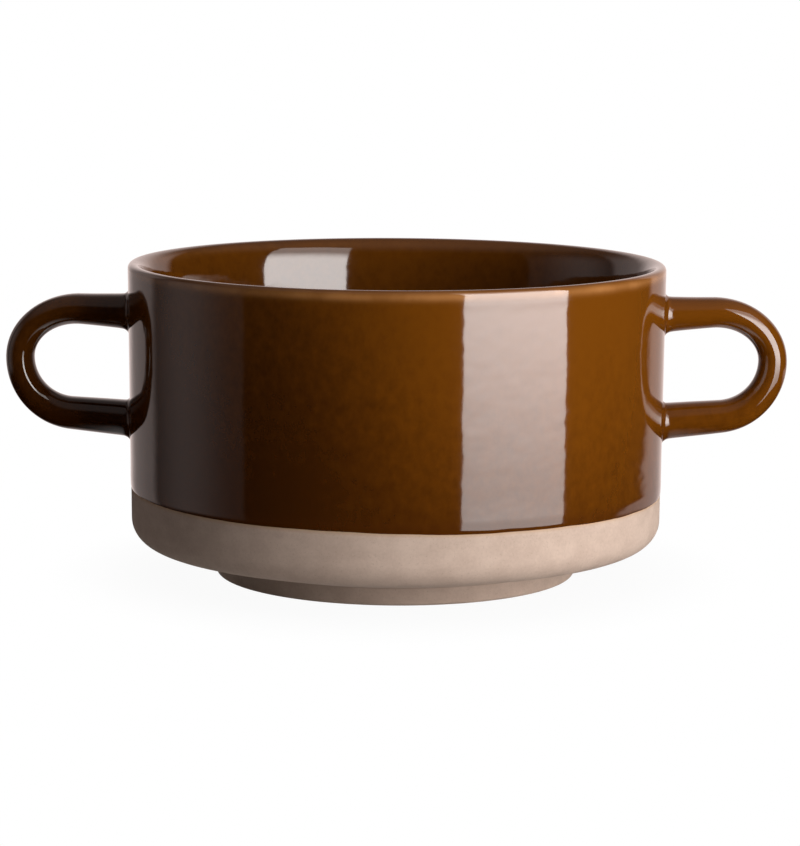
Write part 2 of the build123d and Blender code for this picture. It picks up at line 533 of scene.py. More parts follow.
def curve_through(values: Sequence[float], place: float) -> float:
    """Smooth curve through values that stand at the places 0, 1, 2 and so on.

    Args:
        values: At least three values.
        place: Where the curve is read.

    Returns:
        The value there.
    """
    last = len(values) - 1
    slopes = [(after - before) / 2 for before, after in zip(values, values[2:])]
    slopes.insert(0, 2 * (values[1] - values[0]) - slopes[0])
    slopes.append(2 * (values[last] - values[last - 1]) - slopes[-1])
    before = min(int(place), last - 1)
    share = place - before
    rise = values[before + 1] - values[before]
    bend = (1 - share) * (slopes[before] - rise) - share * (slopes[before + 1] - rise)
    return values[before] + rise * share + share * (1 - share) * bend


@dataclass(frozen=True)
class BowlShape:
    """Section of the bowl, with the sizes of its CAD source and the unevenness of its firing.

    A pitch counts waves in a metre. The pitches of the glaze edge are for a circle of radius 1.
    """

    outer_radius: float
    height: float
    seat_height: float
    wall_lean: float = radians(0.45)
    wall_thickness: float = 5.5 * MM
    rim_thickness: float = 3.5 * MM
    rim_taper: float = radians(7.5)
    rim_taper_blend: float = 90.0 * MM
    shoulder_radius: float = 1.2 * MM
    lip_depth: float = 7.0 * MM
    rim_steps: int = 12
    floor_thickness: float = 5.0 * MM
    inner_corner_radius: float = 13.0 * MM
    base_corner_radius: float = 5.8 * MM
    base_corner_height: float = 8.6 * MM
    seat_radius: float = 43.5 * MM
    glaze_thickness: float = 0.5 * MM
    glaze_proud: float = 0.1 * MM
    glaze_line: float = 20.0 * MM
    line_tilt: float = 0.0115
    line_wave: float = 0.3 * MM
    line_wave_pitches: Flat = (2.3, 9.0)
    line_wave_shares: Flat = (0.7, 0.3)
    ripple_height: float = 0.035 * MM
    ripple_pitch: float = 55.0
    ripple_share: float = 0.35
    fine_ripple_pitches: Solid = (90.0, 90.0, 160.0)
    fine_ripple_share: float = 0.15
    columns: int = 240

    @classmethod
    def from_frame(cls) -> BowlShape:
        """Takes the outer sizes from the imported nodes.

        Returns:
            The bowl's section.
        """
        coat_low, coat_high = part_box("bowl_glaze")
        body_low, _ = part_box("bowl_body")
        return cls(outer_radius=min(coat_high.y, -coat_low.y), height=coat_high.z, seat_height=body_low.z)

    @property
    def rim_radius(self) -> float:
        """Radius of the rim's round, over the glaze."""
        return self.rim_thickness / 2 + self.glaze_thickness

    @property
    def rim_centre(self) -> Flat:
        """Centre of the rim's round."""
        return (self.outer_radius - self.rim_radius, self.height - self.rim_radius)

    def turn(self, column: int) -> float:
        """Angle of a column about the axis."""
        return FULL_TURN * column / self.columns

    def wall_radius(self, at_height: float) -> float:
        """Radius of the outer wall over the glaze."""
        return self.outer_radius - max(0.0, self.rim_centre[1] - at_height) * tan(self.wall_lean)

    def line_height(self, turn: float) -> float:
        """Height of the glaze edge, which dips a little to the right and wavers.

        Args:
            turn: Angle about the axis.

        Returns:
            The height.
        """
        around = Vector((cos(turn), sin(turn), 0.0))
        level = self.glaze_line - self.line_tilt * self.outer_radius * cos(turn)
        waves = zip(self.line_wave_shares, self.line_wave_pitches)
        return level + self.line_wave * sum(share * noise.noise(around * pitch) for share, pitch in waves)

    def ripple(self, place: Solid) -> float:
        """How far the fired glaze lies under its full thickness, from slow waves in it.

        Args:
            place: A point of the wall.

        Returns:
            The depth.
        """
        spot = Vector(place)
        broad = noise.noise(spot * self.ripple_pitch)
        pitches = self.fine_ripple_pitches
        fine = noise.noise(Vector((spot.x * pitches[0], spot.y * pitches[1], spot.z * pitches[2])))
        return self.ripple_height * (0.5 + self.ripple_share * broad + self.fine_ripple_share * fine)

    def on_wall(self, across: float, at_height: float, side: Side, depth: float = 0.0) -> Solid:
        """Point of the outer wall beside a handle.

        Args:
            across: Its Y.
            at_height: Its Z.
            side: The handle's side.
            depth: How far it lies under the glaze's surface.

        Returns:
            The point.
        """
        radius = self.wall_radius(at_height)
        bare = (side.value * sqrt(radius**2 - across**2), across, at_height)
        sunk = radius - depth - self.ripple(bare)
        return (side.value * sqrt(sunk**2 - across**2), across, at_height)

    def inside(self, depth: float) -> list[Flat]:
        """Outline of the bowl's inside from the rim's round to the axis.

        Args:
            depth: How far it lies under the glaze's surface.

        Returns:
            Radii and heights.
        """
        rim_r, rim_z = self.rim_centre
        round_radius = self.rim_radius - depth
        start = (rim_r - round_radius * cos(self.rim_taper), rim_z + round_radius * sin(self.rim_taper))
        floor = self.seat_height + self.floor_thickness + self.glaze_thickness - depth
        wall = self.wall_radius(rim_z) - self.wall_thickness - 2 * self.glaze_thickness + depth
        opening = tan(self.rim_taper) - tan(self.wall_lean)
        drop = (rim_r - round_radius / cos(self.rim_taper) - wall) / opening
        foot = (wall - drop * tan(self.wall_lean), rim_z - drop)
        corner = (wall - (rim_z - floor) * tan(self.wall_lean), floor)
        corner_radius = self.inner_corner_radius - self.glaze_thickness + depth
        return [
            start,
            *rounded_corner(start, foot, corner, self.rim_taper_blend),
            *rounded_corner(foot, corner, (0.0, floor), corner_radius),
            (self.inner_corner_radius, floor),
        ]

    def rim(self, depth: float) -> list[Flat]:
        """Outline of the fired rim, with a tight outer shoulder and a softly rolled inner lip.

        Args:
            depth: How far it lies under the glaze's surface.

        Returns:
            Radii and heights, from the outer wall to the inside.
        """
        middle = self.outer_radius - self.shoulder_radius
        reach = self.shoulder_radius - depth
        outline = []
        for step in range(self.rim_steps + 1):
            lift = pi / 2 * step / self.rim_steps
            height = self.height - self.shoulder_radius + reach * sin(lift)
            outline.append((middle + reach * cos(lift), height))
        slope = tan(self.rim_taper)
        start_r, start_z = self.inside(0.0)[0]
        top = Vector((middle, self.height))
        corner = Vector((start_r + (self.height - start_z) * slope, self.height))
        low = corner - Vector((slope, 1.0)) * self.lip_depth
        for step in range(1, 2 * self.rim_steps + 1):
            share = step / (2 * self.rim_steps)
            one, other = top.lerp(corner, share), corner.lerp(low, share)
            along = (other - one).normalized()
            spot = one.lerp(other, share) - Vector((along.y, -along.x)) * depth
            outline.append((spot.x, spot.y))
        return outline

    def lathe(self, skin: Skin, radius: float, at_height: float, **marks: float) -> list[int]:
        """Adds one level ring about the axis.

        Args:
            skin: The mesh that takes it.
            radius: Its radius.
            at_height: Its height.
            marks: The glaze's marks on it.

        Returns:
            The numbers of its points.
        """
        turns = [self.turn(column) for column in range(self.columns)]
        return skin.ring([(radius * cos(turn), radius * sin(turn), at_height) for turn in turns], **marks)

    def wavy(self, skin: Skin, radius: float, lift: float, **marks: float) -> list[int]:
        """Adds one ring that follows the glaze edge.

        Args:
            skin: The mesh that takes it.
            radius: Radius over the wall's glaze.
            lift: Height over the glaze edge.
            marks: The glaze's marks on it.

        Returns:
            The numbers of its points.
        """
        ring = []
        for column in range(self.columns):
            turn = self.turn(column)
            height = self.line_height(turn) + lift
            full = self.wall_radius(height) + radius
            ring.append((full * cos(turn), full * sin(turn), height))
        return skin.ring(ring, **marks)


@dataclass(frozen=True)
class Root:
    """Where one end of a handle meets the wall, and the patch of wall that is gridded around it."""

    height: float
    half_height: float
    half_width: float
    patch_low: float
    patch_high: float
    half_columns: int = 7
    rows: int = 12

    def edge_places(self) -> list[tuple[int, int]]:
        """Lists the columns and rows around the patch's edge.

        Returns:
            Columns and rows, from the lower corner on the -Y side.
        """
        wide = self.half_columns
        places = [(column, 0) for column in range(-wide, wide + 1)]
        places += [(wide, row) for row in range(1, self.rows)]
        places += [(column, self.rows) for column in range(wide, -wide - 1, -1)]
        places += [(-wide, row) for row in range(self.rows - 1, 0, -1)]
        return places

    def row_height(self, row: int) -> float:
        """Height of a row of the patch."""
        return self.patch_low + (self.patch_high - self.patch_low) * row / self.rows

    def angles(self, shape: BowlShape) -> list[float]:
        """Angles about the root's centre that match the points around the patch.

        Args:
            shape: The bowl.

        Returns:
            One angle for each point, in the plane of Y and Z.
        """
        angles = []
        for column, row in self.edge_places():
            height = self.row_height(row)
            across = shape.wall_radius(height) * sin(shape.turn(column))
            angles.append(atan2((height - self.height) / self.half_height, across / self.half_width))
        return angles

    def oval(self, shape: BowlShape, side: Side, depth: float) -> list[Solid]:
        """Edge of the handle's glaze on the wall.

        Args:
            shape: The bowl.
            side: The handle's side.
            depth: How far it lies under the glaze's surface.

        Returns:
            Points around the root.
        """
        points = []
        for angle in self.angles(shape):
            across = self.half_width * cos(angle)
            height = self.height + self.half_height * sin(angle)
            points.append(shape.on_wall(across, height, side, depth))
        return points


@dataclass(frozen=True)
class HandleShape:
    """Rod of a handle over its glaze, with the sizes of its CAD source.

    A place on the rod is a number from 0 at the upper root to 4 at the lower one. It grows by one along the
    upper arm, the upper bend, the lower bend and the lower arm.
    """

    tip_reach: float
    start_radius: float
    rim_height: float
    drop: float = 22.7 * MM
    upper_bend_length: float = 13.6 * MM
    upper_bend_height: float = 11.4 * MM
    lower_bend: float = 13.2 * MM
    upper_rise: float = radians(2.8)
    lower_fall: float = radians(5.0)
    thicknesses: tuple[float, ...] = (8.8 * MM, 7.2 * MM, 6.7 * MM, 7.8 * MM, 8.6 * MM)
    widths: tuple[float, ...] = (10.4 * MM, 9.2 * MM, 8.8 * MM, 9.2 * MM, 10.4 * MM)
    fillet: float = 1.5 * MM
    border: float = 0.8 * MM
    patch_margin: float = 1.5 * MM
    rim_margin: float = 0.3 * MM

    @classmethod
    def from_frame(cls, bowl: BowlShape) -> HandleShape:
        """Takes the handle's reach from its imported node.

        Args:
            bowl: The bowl that carries it.

        Returns:
            The handle's rod.
        """
        _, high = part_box("right_handle_glaze")
        return cls(tip_reach=high.x, start_radius=bowl.rim_centre[0], rim_height=bowl.height)

    @property
    def last(self) -> float:
        """Place of the lower root."""
        return float(len(self.thicknesses) - 1)

    @property
    def tip(self) -> Flat:
        """The centre line's outermost point."""
        return (self.tip_reach - self.thicknesses[2] / 2, self.rim_height - self.drop)

    def upper_arc(self, share: float) -> tuple[Flat, Flat]:
        """Point of the upper bend's oval and the direction out of the loop there.

        Args:
            share: How much of the bend is passed, from the arm to the tip.

        Returns:
            X and Z of the point, and X and Z of the direction.
        """
        tip_x, tip_z = self.tip
        long, high = self.upper_bend_length, self.upper_bend_height
        angle = (pi / 2 + atan2(long * tan(self.upper_rise), high)) * (1 - share)
        outward = Vector((cos(angle) / long, sin(angle) / high)).normalized()
        return (tip_x - long + long * cos(angle), tip_z + high * sin(angle)), (outward.x, outward.y)

    def lower_arc(self, share: float) -> tuple[Flat, Flat]:
        """Point of the lower bend and the direction out of the loop there.

        Args:
            share: How much of the bend is passed, from the tip to the arm.

        Returns:
            X and Z of the point, and X and Z of the direction.
        """
        tip_x, tip_z = self.tip
        angle = (self.lower_fall - pi / 2) * share
        outward = (cos(angle), sin(angle))
        return (tip_x + self.lower_bend * (outward[0] - 1), tip_z + self.lower_bend * outward[1]), outward

    def centre(self, place: float) -> tuple[Flat, Flat]:
        """Point of the centre line and the direction out of the loop there.

        Args:
            place: Place on the rod.

        Returns:
            X and Z of the point, and X and Z of the direction.
        """
        if 1.0 <= place <= 2.0:
            return self.upper_arc(place - 1.0)
        if 2.0 < place <= 3.0:
            return self.lower_arc(place - 2.0)
        upper = place < 1.0
        (end_x, end_z), outward = self.upper_arc(0.0) if upper else self.lower_arc(1.0)
        back = (end_x - self.start_radius) * (1.0 - place if upper else place - 3.0)
        slope = tan(self.upper_rise) if upper else tan(self.lower_fall)
        return (end_x - back, end_z - back * slope), outward

    def place_at(self, reach: float, upper: bool) -> float:
        """Place of an arm's point at a distance from the bowl's axis.

        Args:
            reach: That distance.
            upper: Whether it is the upper arm.

        Returns:
            The place on the rod.
        """
        (end_x, _), _ = self.upper_arc(0.0) if upper else self.lower_arc(1.0)
        share = (reach - self.start_radius) / (end_x - self.start_radius)
        return share if upper else self.last - share

    def half_sizes(self, place: float) -> Flat:
        """Half thickness and half width of the rod.

        Args:
            place: Place on the rod.

        Returns:
            The two sizes.
        """
        return (curve_through(self.thicknesses, place) / 2, curve_through(self.widths, place) / 2)

    def roots(self, bowl: BowlShape) -> tuple[Root, Root]:
        """Works out where the rod meets the wall.

        Args:
            bowl: The bowl that carries it.

        Returns:
            The upper and the lower root.
        """
        covered = self.fillet + self.border
        roots = []
        for place in (0.0, self.last):
            (_, height), _ = self.centre(place)
            at_wall = self.place_at(bowl.wall_radius(height), place == 0.0)
            half_thickness, half_width = self.half_sizes(at_wall)
            reach = half_thickness + covered + self.patch_margin
            roots.append(
                Root(
                    height=height,
                    half_height=half_thickness + covered,
                    half_width=half_width + covered,
                    patch_low=height - reach,
                    patch_high=min(height + reach, bowl.rim_centre[1] - self.rim_margin),
                )
            )
        return (roots[0], roots[1])


class SubAssembly:
    """What the bowl's sub-assemblies share."""

    def seat(self, piece: bpy.types.Object, slot: Slot, *nodes: str) -> bpy.types.Object:
        """Puts a piece in the frame in place of its CAD nodes.

        Args:
            piece: The finished piece.
            slot: Its slot in the record; not used.
            nodes: The CAD nodes that it stands for.

        Returns:
            The piece.
        """
        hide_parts(*nodes)
        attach(piece, ROOT_BODY)
        LOG.info("%s: %d faces, in place of %s", piece.name, len(piece.data.polygons), ", ".join(nodes))
        return piece


@dataclass
class ClayBody(SubAssembly):
    """The turned stoneware bowl: bare below the glaze edge and hidden by the glaze above it."""

    shape: BowlShape
    finish: bpy.types.Material
    mark_height: float = 0.035 * MM
    mark_pitch: float = 700.0
    mark_share: float = 0.3
    fine_mark_pitch: float = 1900.0
    fine_mark_share: float = 0.2
    fine_mark_offset: float = 3.0
    seat_steps: int = 5
    row_spacing: float = 0.6 * MM
    overlap: float = 0.4 * MM
    rebate_rise: float = 1.4 * MM
    stain_reach: float = 1.0 * MM

    def turning_mark(self, at_height: float) -> float:
        """How deep the turning tool's mark is.

        Args:
            at_height: Height on the wall.

        Returns:
            The depth.
        """
        broad = noise.noise(Vector((0.0, 0.0, at_height * self.mark_pitch)))
        fine = noise.noise(Vector((self.fine_mark_offset, 0.0, at_height * self.fine_mark_pitch)))
        return self.mark_height * (0.5 + self.mark_share * broad + self.fine_mark_share * fine)

    def bare_outline(self) -> list[Flat]:
        """Outline of the underside and the base corner.

        Returns:
            Radii and heights, from the seat's edge to the start of the straight band.
        """
        shape = self.shape
        seat = (shape.seat_radius, shape.seat_height)
        corner_radius = shape.wall_radius(shape.base_corner_height) - shape.glaze_proud
        line = (shape.wall_radius(shape.glaze_line) - shape.glaze_proud, shape.glaze_line)
        corner = (corner_radius, shape.base_corner_height)
        return [seat, *rounded_corner(seat, corner, line, shape.base_corner_radius)]

    def band(self, skin: Skin, start: float) -> list[list[int]]:
        """Rings of the straight bare band, whose top follows the glaze edge.

        Args:
            skin: The mesh that takes them.
            start: Height at which the band starts.

        Returns:
            The rings, from below.
        """
        shape = self.shape
        count = ceil((shape.glaze_line - start) / self.row_spacing)
        rings = []
        for row in range(1, count + 1):
            ring = []
            for column in range(shape.columns):
                turn = shape.turn(column)
                height = start + (shape.line_height(turn) + self.overlap - start) * row / count
                radius = shape.wall_radius(height) - shape.glaze_proud - self.turning_mark(height)
                ring.append((radius * cos(turn), radius * sin(turn), height))
            below = (shape.glaze_line - start) * (1 - row / count)
            rings.append(skin.ring(ring, stained=max(0.0, 1.0 - below / self.stain_reach)))
        return rings

    def build(self) -> bpy.types.Object:
        """Builds the clay body.

        Returns:
            The finished piece.
        """
        shape = self.shape
        skin = Skin()
        seat_radii = [step / self.seat_steps * shape.seat_radius for step in range(1, self.seat_steps)]
        rings = [shape.lathe(skin, radius, shape.seat_height) for radius in seat_radii]
        skin.fan(rings[0], (0.0, 0.0, shape.seat_height))
        bare = spaced(self.bare_outline(), self.row_spacing)
        rings += [shape.lathe(skin, radius - self.turning_mark(height), height) for radius, height in bare]
        rings += self.band(skin, bare[-1][1])
        rings.append(shape.wavy(skin, -shape.glaze_thickness, self.rebate_rise))
        rim = shape.rim(shape.glaze_thickness)
        inside = shape.inside(shape.glaze_thickness)
        rings += [shape.lathe(skin, radius, height) for radius, height in rim + inside[1:]]
        skin.chain(rings)
        skin.fan(rings[-1], (0.0, 0.0, inside[-1][1]))
        return self.seat(skin.piece("bowl_clay", self.finish), Slot.CLAY, "bowl_body")


@dataclass
class GlazeCoat(SubAssembly):
    """The bowl's glaze: inside, over the rim and down to a rolled edge, open at the handles' roots.

    The edge's profile gives heights over the glaze edge, each with how deep the glaze lies there. The depth
    is a share of how far the glaze stands proud.
    """

    shape: BowlShape
    roots: tuple[Root, Root]
    finish: bpy.types.Material
    roll_height: float = 0.03 * MM
    roll_centre: float = 2.6 * MM
    roll_reach: float = 1.1 * MM
    edge_profile: tuple[Flat, ...] = (
        (0.0, 1.3),
        (0.05 * MM, 1.0),
        (0.2 * MM, 0.72),
        (0.4 * MM, 0.46),
        (0.6 * MM, 0.25),
        (0.8 * MM, 0.1),
        (1.0 * MM, 0.02),
    )
    edge_pooled: float = 0.6
    pool_lifts: tuple[float, ...] = (1.3 * MM, 1.6 * MM, 2.0 * MM, 2.5 * MM, 3.1 * MM, 3.8 * MM)
    pool_start: float = 0.9
    pool_reach: float = 4.0 * MM
    tuck_rise: float = 1.5 * MM
    rows_between: int = 4
    rim_drops: tuple[float, ...] = (3.5 * MM, 3.0 * MM, 2.6 * MM, 2.2 * MM, 1.9 * MM, 1.6 * MM, 1.4 * MM)
    least_row: float = 0.15 * MM
    patch_rings: int = 5
    inner_spacing: float = 2.5 * MM
    thin_drop: float = 1.3 * MM
    thin_reach: float = 0.9 * MM
    thin_inside: float = 0.15

    def thin(self, at_height: float) -> float:
        """How thin the glaze has run over the rim's shoulder, at a height."""
        drop = self.shape.height - at_height
        return exp(-(((drop - self.thin_drop) / self.thin_reach) ** 2))

    def roll(self, lift: float) -> float:
        """How far the glaze's rolled edge stands out, at a height over that edge."""
        return self.roll_height * exp(-(((lift - self.roll_centre) / self.roll_reach) ** 2))

    def column(self, side: Side, offset: int) -> int:
        """Column of the wall's grid, counted from the middle of a handle.

        Args:
            side: The handle's side.
            offset: Columns from its middle, towards +Y.

        Returns:
            The column.
        """
        if side is Side.RIGHT:
            return offset % self.shape.columns
        return (self.shape.columns // 2 - offset) % self.shape.columns

    def row_heights(self) -> list[float]:
        """Lists the heights of the level rows.

        Returns:
            Heights from below, through both roots' patches.
        """
        upper, lower = self.roots
        gap = (upper.patch_low - lower.patch_high) / self.rows_between
        rows = [lower.row_height(row) for row in range(lower.rows + 1)]
        rows += [lower.patch_high + gap * step for step in range(1, self.rows_between)]
        rows += [upper.row_height(row) for row in range(upper.rows + 1)]
        return rows

    def level_row(self, skin: Skin, at_height: float, depth: float) -> list[int]:
        """Adds one level row of the wall.

        Args:
            skin: The mesh that takes it.
            at_height: Its height.
            depth: How far it lies under the glaze's surface.

        Returns:
            The numbers of its points.
        """
        shape = self.shape
        row = []
        for column in range(shape.columns):
            turn = shape.turn(column)
            full = shape.wall_radius(at_height)
            radius = full - depth - shape.ripple((full * cos(turn), full * sin(turn), at_height))
            row.append((radius * cos(turn), radius * sin(turn), at_height))
        return skin.ring(row, thin=self.thin(at_height))

    def patch(self, skin: Skin, edge: Sequence[int], root: Root, side: Side, depth: float) -> list[int]:
        """Grids the wall between a patch's edge and the oval of a root.

        Args:
            skin: The mesh that takes it.
            edge: Points around the patch.
            root: The root.
            side: The handle's side.
            depth: How far the wall lies under the glaze's surface.

        Returns:
            The numbers of the oval's points.
        """
        oval = root.oval(self.shape, side, depth)
        rings = [list(edge)]
        for step in range(1, self.patch_rings):
            share = step / self.patch_rings
            ring = []
            for number, (_, oval_y, oval_z) in zip(edge, oval):
                _, edge_y, edge_z = skin.points[number]
                across = edge_y + (oval_y - edge_y) * share
                height = edge_z + (oval_z - edge_z) * share
                ring.append(self.shape.on_wall(across, height, side, depth))
            rings.append(skin.ring(ring))
        rings.append(skin.ring(oval))
        skin.chain(rings)
        return rings[-1]

    def wall(self, skin: Skin, depth: float) -> tuple[list[int], list[int], list[list[int]]]:
        """Lays the level part of the outer wall.

        Args:
            skin: The mesh that takes it.
            depth: How far it lies under the glaze's surface.

        Returns:
            Its lowest row, its highest row and the ovals that are left open.
        """
        upper, lower = self.roots
        rows = [self.level_row(skin, height, depth) for height in self.row_heights()]
        starts = {lower: 0, upper: len(rows) - 1 - upper.rows}
        open_cells = set()
        ovals = []
        for side in Side:
            for root, start in starts.items():
                for row in range(start, start + root.rows):
                    for offset in range(-root.half_columns, root.half_columns):
                        columns = (self.column(side, offset), self.column(side, offset + 1))
                        open_cells.add((row, columns if side is Side.RIGHT else columns[::-1]))
                edge = [rows[start + row][self.column(side, offset)] for offset, row in root.edge_places()]
                ovals.append(self.patch(skin, edge, root, side, depth))
        for row, (below, above) in enumerate(zip(rows, rows[1:])):
            for column in range(self.shape.columns):
                after = (column + 1) % self.shape.columns
                if (row, (column, after)) not in open_cells:
                    skin.faces.append((below[column], below[after], above[after], above[column]))
        return rows[0], rows[-1], ovals

    def skirt(self, skin: Skin, lowest: Sequence[int]) -> list[list[int]]:
        """Rings from the glaze edge up to the wall's lowest level row.

        Args:
            skin: The mesh that takes them.
            lowest: That row.

        Returns:
            The rings, from the edge upwards.
        """
        shape = self.shape
        rings = []
        for lift, sunk in self.edge_profile:
            rings.append(shape.wavy(skin, -sunk * shape.glaze_proud, lift, pooled=self.edge_pooled))
        for lift in self.pool_lifts:
            pooled = max(0.0, self.pool_start - lift / self.pool_reach)
            rings.append(shape.wavy(skin, self.roll(lift), lift, pooled=pooled))
        rings.append(list(lowest))
        return rings

    def build(self) -> bpy.types.Object:
        """Builds the coat: its outer skin, its skin on the clay, and the edges between them.

        Returns:
            The finished piece.
        """
        shape = self.shape
        skin = Skin()
        outer_low, outer_high, outer_ovals = self.wall(skin, 0.0)
        skirt = self.skirt(skin, outer_low)
        skin.chain(skirt)
        over = [outer_high]
        top_row = skin.points[outer_high[0]][2]
        for drop in self.rim_drops:
            height = shape.height - drop
            if height > top_row + self.least_row:
                over.append(shape.lathe(skin, shape.wall_radius(height), height, thin=self.thin(height)))
        rim = shape.rim(0.0)
        rim_middle = shape.outer_radius - shape.shoulder_radius
        inside = spaced(shape.inside(0.0)[1:], self.inner_spacing)
        for radius, height in rim + inside:
            share = 1.0 if radius >= rim_middle else self.thin_inside
            over.append(shape.lathe(skin, radius, height, thin=share * self.thin(height)))
        skin.chain(over)
        skin.fan(over[-1], (0.0, 0.0, inside[-1][1]))
        under_low, under_high, under_ovals = self.wall(skin, shape.glaze_thickness)
        for outer, under in zip(outer_ovals, under_ovals):
            skin.bridge(outer, under)
        tucked = shape.wavy(skin, -shape.glaze_thickness, self.tuck_rise)
        skin.chain([skirt[0], tucked, under_low])
        under = [under_high]
        hidden = shape.rim(shape.glaze_thickness)[::2] + shape.inside(shape.glaze_thickness)[1:]
        under += [shape.lathe(skin, radius, height) for radius, height in hidden]
        skin.chain(under)
        skin.fan(under[-1], (0.0, 0.0, hidden[-1][1]))
        return self.seat(skin.piece("bowl_coat", self.finish), Slot.GLAZE, "bowl_glaze")


@dataclass
class Handle(SubAssembly):
    """One glazed handle: a pulled rod bent to a D, run out to the wall in a fillet at each root.

    The glaze pools in a band of rings near each root.
    """

    side: Side
    bowl: BowlShape
    shape: HandleShape
    finish: bpy.types.Material
    rings_per_run: int = 22
    fillet_steps: int = 10
    wobble: float = 0.05 * MM
    wobble_pitch: float = 140.0
    pool_rings: float = 3.0
    pool_middle: float = 4.0
    pool_depth: float = 0.55

    def rod_ring(self, angles: Sequence[float], place: float, depth: float) -> list[Solid]:
        """Points around the rod.

        Args:
            angles: Their angles about the centre line.
            place: Place on the rod.
            depth: How far they lie under the glaze's surface.

        Returns:
            The points.
        """
        (x, z), (out_x, out_z) = self.shape.centre(place)
        half_thickness, half_width = self.shape.half_sizes(place)
        points = []
        for angle in angles:
            across = (half_width - depth) * cos(angle)
            out = (half_thickness - depth) * sin(angle)
            spot = Vector((self.side.value * (x + out * out_x), across, z + out * out_z))
            uneven = self.wobble * (0.5 + 0.5 * noise.noise(spot * self.wobble_pitch))
            shrink = 1.0 - uneven / half_thickness
            out *= shrink
            points.append((self.side.value * (x + out * out_x), across * shrink, z + out * out_z))
        return points

    def root_rings(self, root: Root, upper: bool, depth: float) -> list[list[Solid]]:
        """Rings of one root, from its oval on the wall to the rod.

        Args:
            root: The root.
            upper: Whether it is the upper one.
            depth: How far they lie under the glaze's surface.

        Returns:
            The rings, from the wall outwards.
        """
        fillet = self.shape.fillet
        wall_x, _, _ = self.bowl.on_wall(0.0, root.height, Side.RIGHT)
        rings = [root.oval(self.bowl, self.side, depth)]
        turned = 1 if upper else -1
        for step in range(self.fillet_steps + 1):
            sweep = pi / 2 * step / self.fillet_steps
            stand = fillet - (fillet + depth) * cos(sweep)
            flare = fillet - (fillet + depth) * sin(sweep)
            free = 1.0 - cos(sweep)
            place = self.shape.place_at(wall_x + stand, upper)
            (x, z), (out_x, out_z) = self.shape.centre(place)
            half_thickness, half_width = self.shape.half_sizes(place)
            ring = []
            for angle in root.angles(self.bowl):
                across = (half_width + flare) * cos(angle)
                rise = (half_thickness + flare) * sin(angle)
                height = z + rise * (1 - free + free * out_z * turned)
                on_wall, _, _ = self.bowl.on_wall(across, height, Side.RIGHT)
                rod_x = x + rise * out_x * turned
                reach = (1 - free) * (on_wall + stand) + free * rod_x
                ring.append((self.side.value * reach, across, height))
            rings.append(ring)
        return rings

    def rings(self, depth: float) -> list[list[Solid]]:
        """Rings of the handle from its upper root to its lower root.

        Args:
            depth: How far they lie under the glaze's surface.

        Returns:
            The rings, with their points in step.
        """
        shape = self.shape
        upper, lower = shape.roots(self.bowl)
        upper_angles = upper.angles(self.bowl)
        count = len(upper_angles)
        far_corner = 2 * (2 * upper.half_columns + upper.rows)
        mirrored = [(far_corner - number) % count for number in range(count)]
        lower_angles = lower.angles(self.bowl)
        goals = [-lower_angles[number] for number in mirrored]
        first = self.root_rings(upper, True, depth)
        last = [[ring[number] for number in mirrored] for ring in self.root_rings(lower, False, depth)]
        start = shape.place_at(self.bowl.wall_radius(upper.height) + shape.fillet, True)
        end = shape.place_at(self.bowl.wall_radius(lower.height) + shape.fillet, False)
        steps = ceil((end - start) * self.rings_per_run)
        rod = []
        for step in range(1, steps):
            share = step / steps
            angles = []
            for angle, goal in zip(upper_angles, goals):
                turn = (goal - angle + pi) % FULL_TURN - pi
                angles.append(angle + turn * share)
            rod.append(self.rod_ring(angles, start + (end - start) * share, depth))
        return first + rod + last[::-1]

    def build(self) -> bpy.types.Object:
        """Builds the handle's glaze as a closed tube with a skin inside.

        Returns:
            The finished piece.
        """
        skin = Skin()
        outer = self.rings(0.0)
        numbers = []
        for place, ring in enumerate(outer):
            near = min(place, len(outer) - 1 - place)
            pooled = self.pool_depth * exp(-(((near - self.pool_middle) / self.pool_rings) ** 2))
            numbers.append(skin.ring(ring, pooled=pooled))
        numbers += [skin.ring(ring) for ring in reversed(self.rings(self.bowl.glaze_thickness))]
        skin.chain(numbers + [numbers[0]])
        name = self.side.name.lower()
        piece = skin.piece(f"{name}_handle_coat", self.finish)
        return self.seat(piece, Slot.GLAZE, f"{name}_handle_glaze")


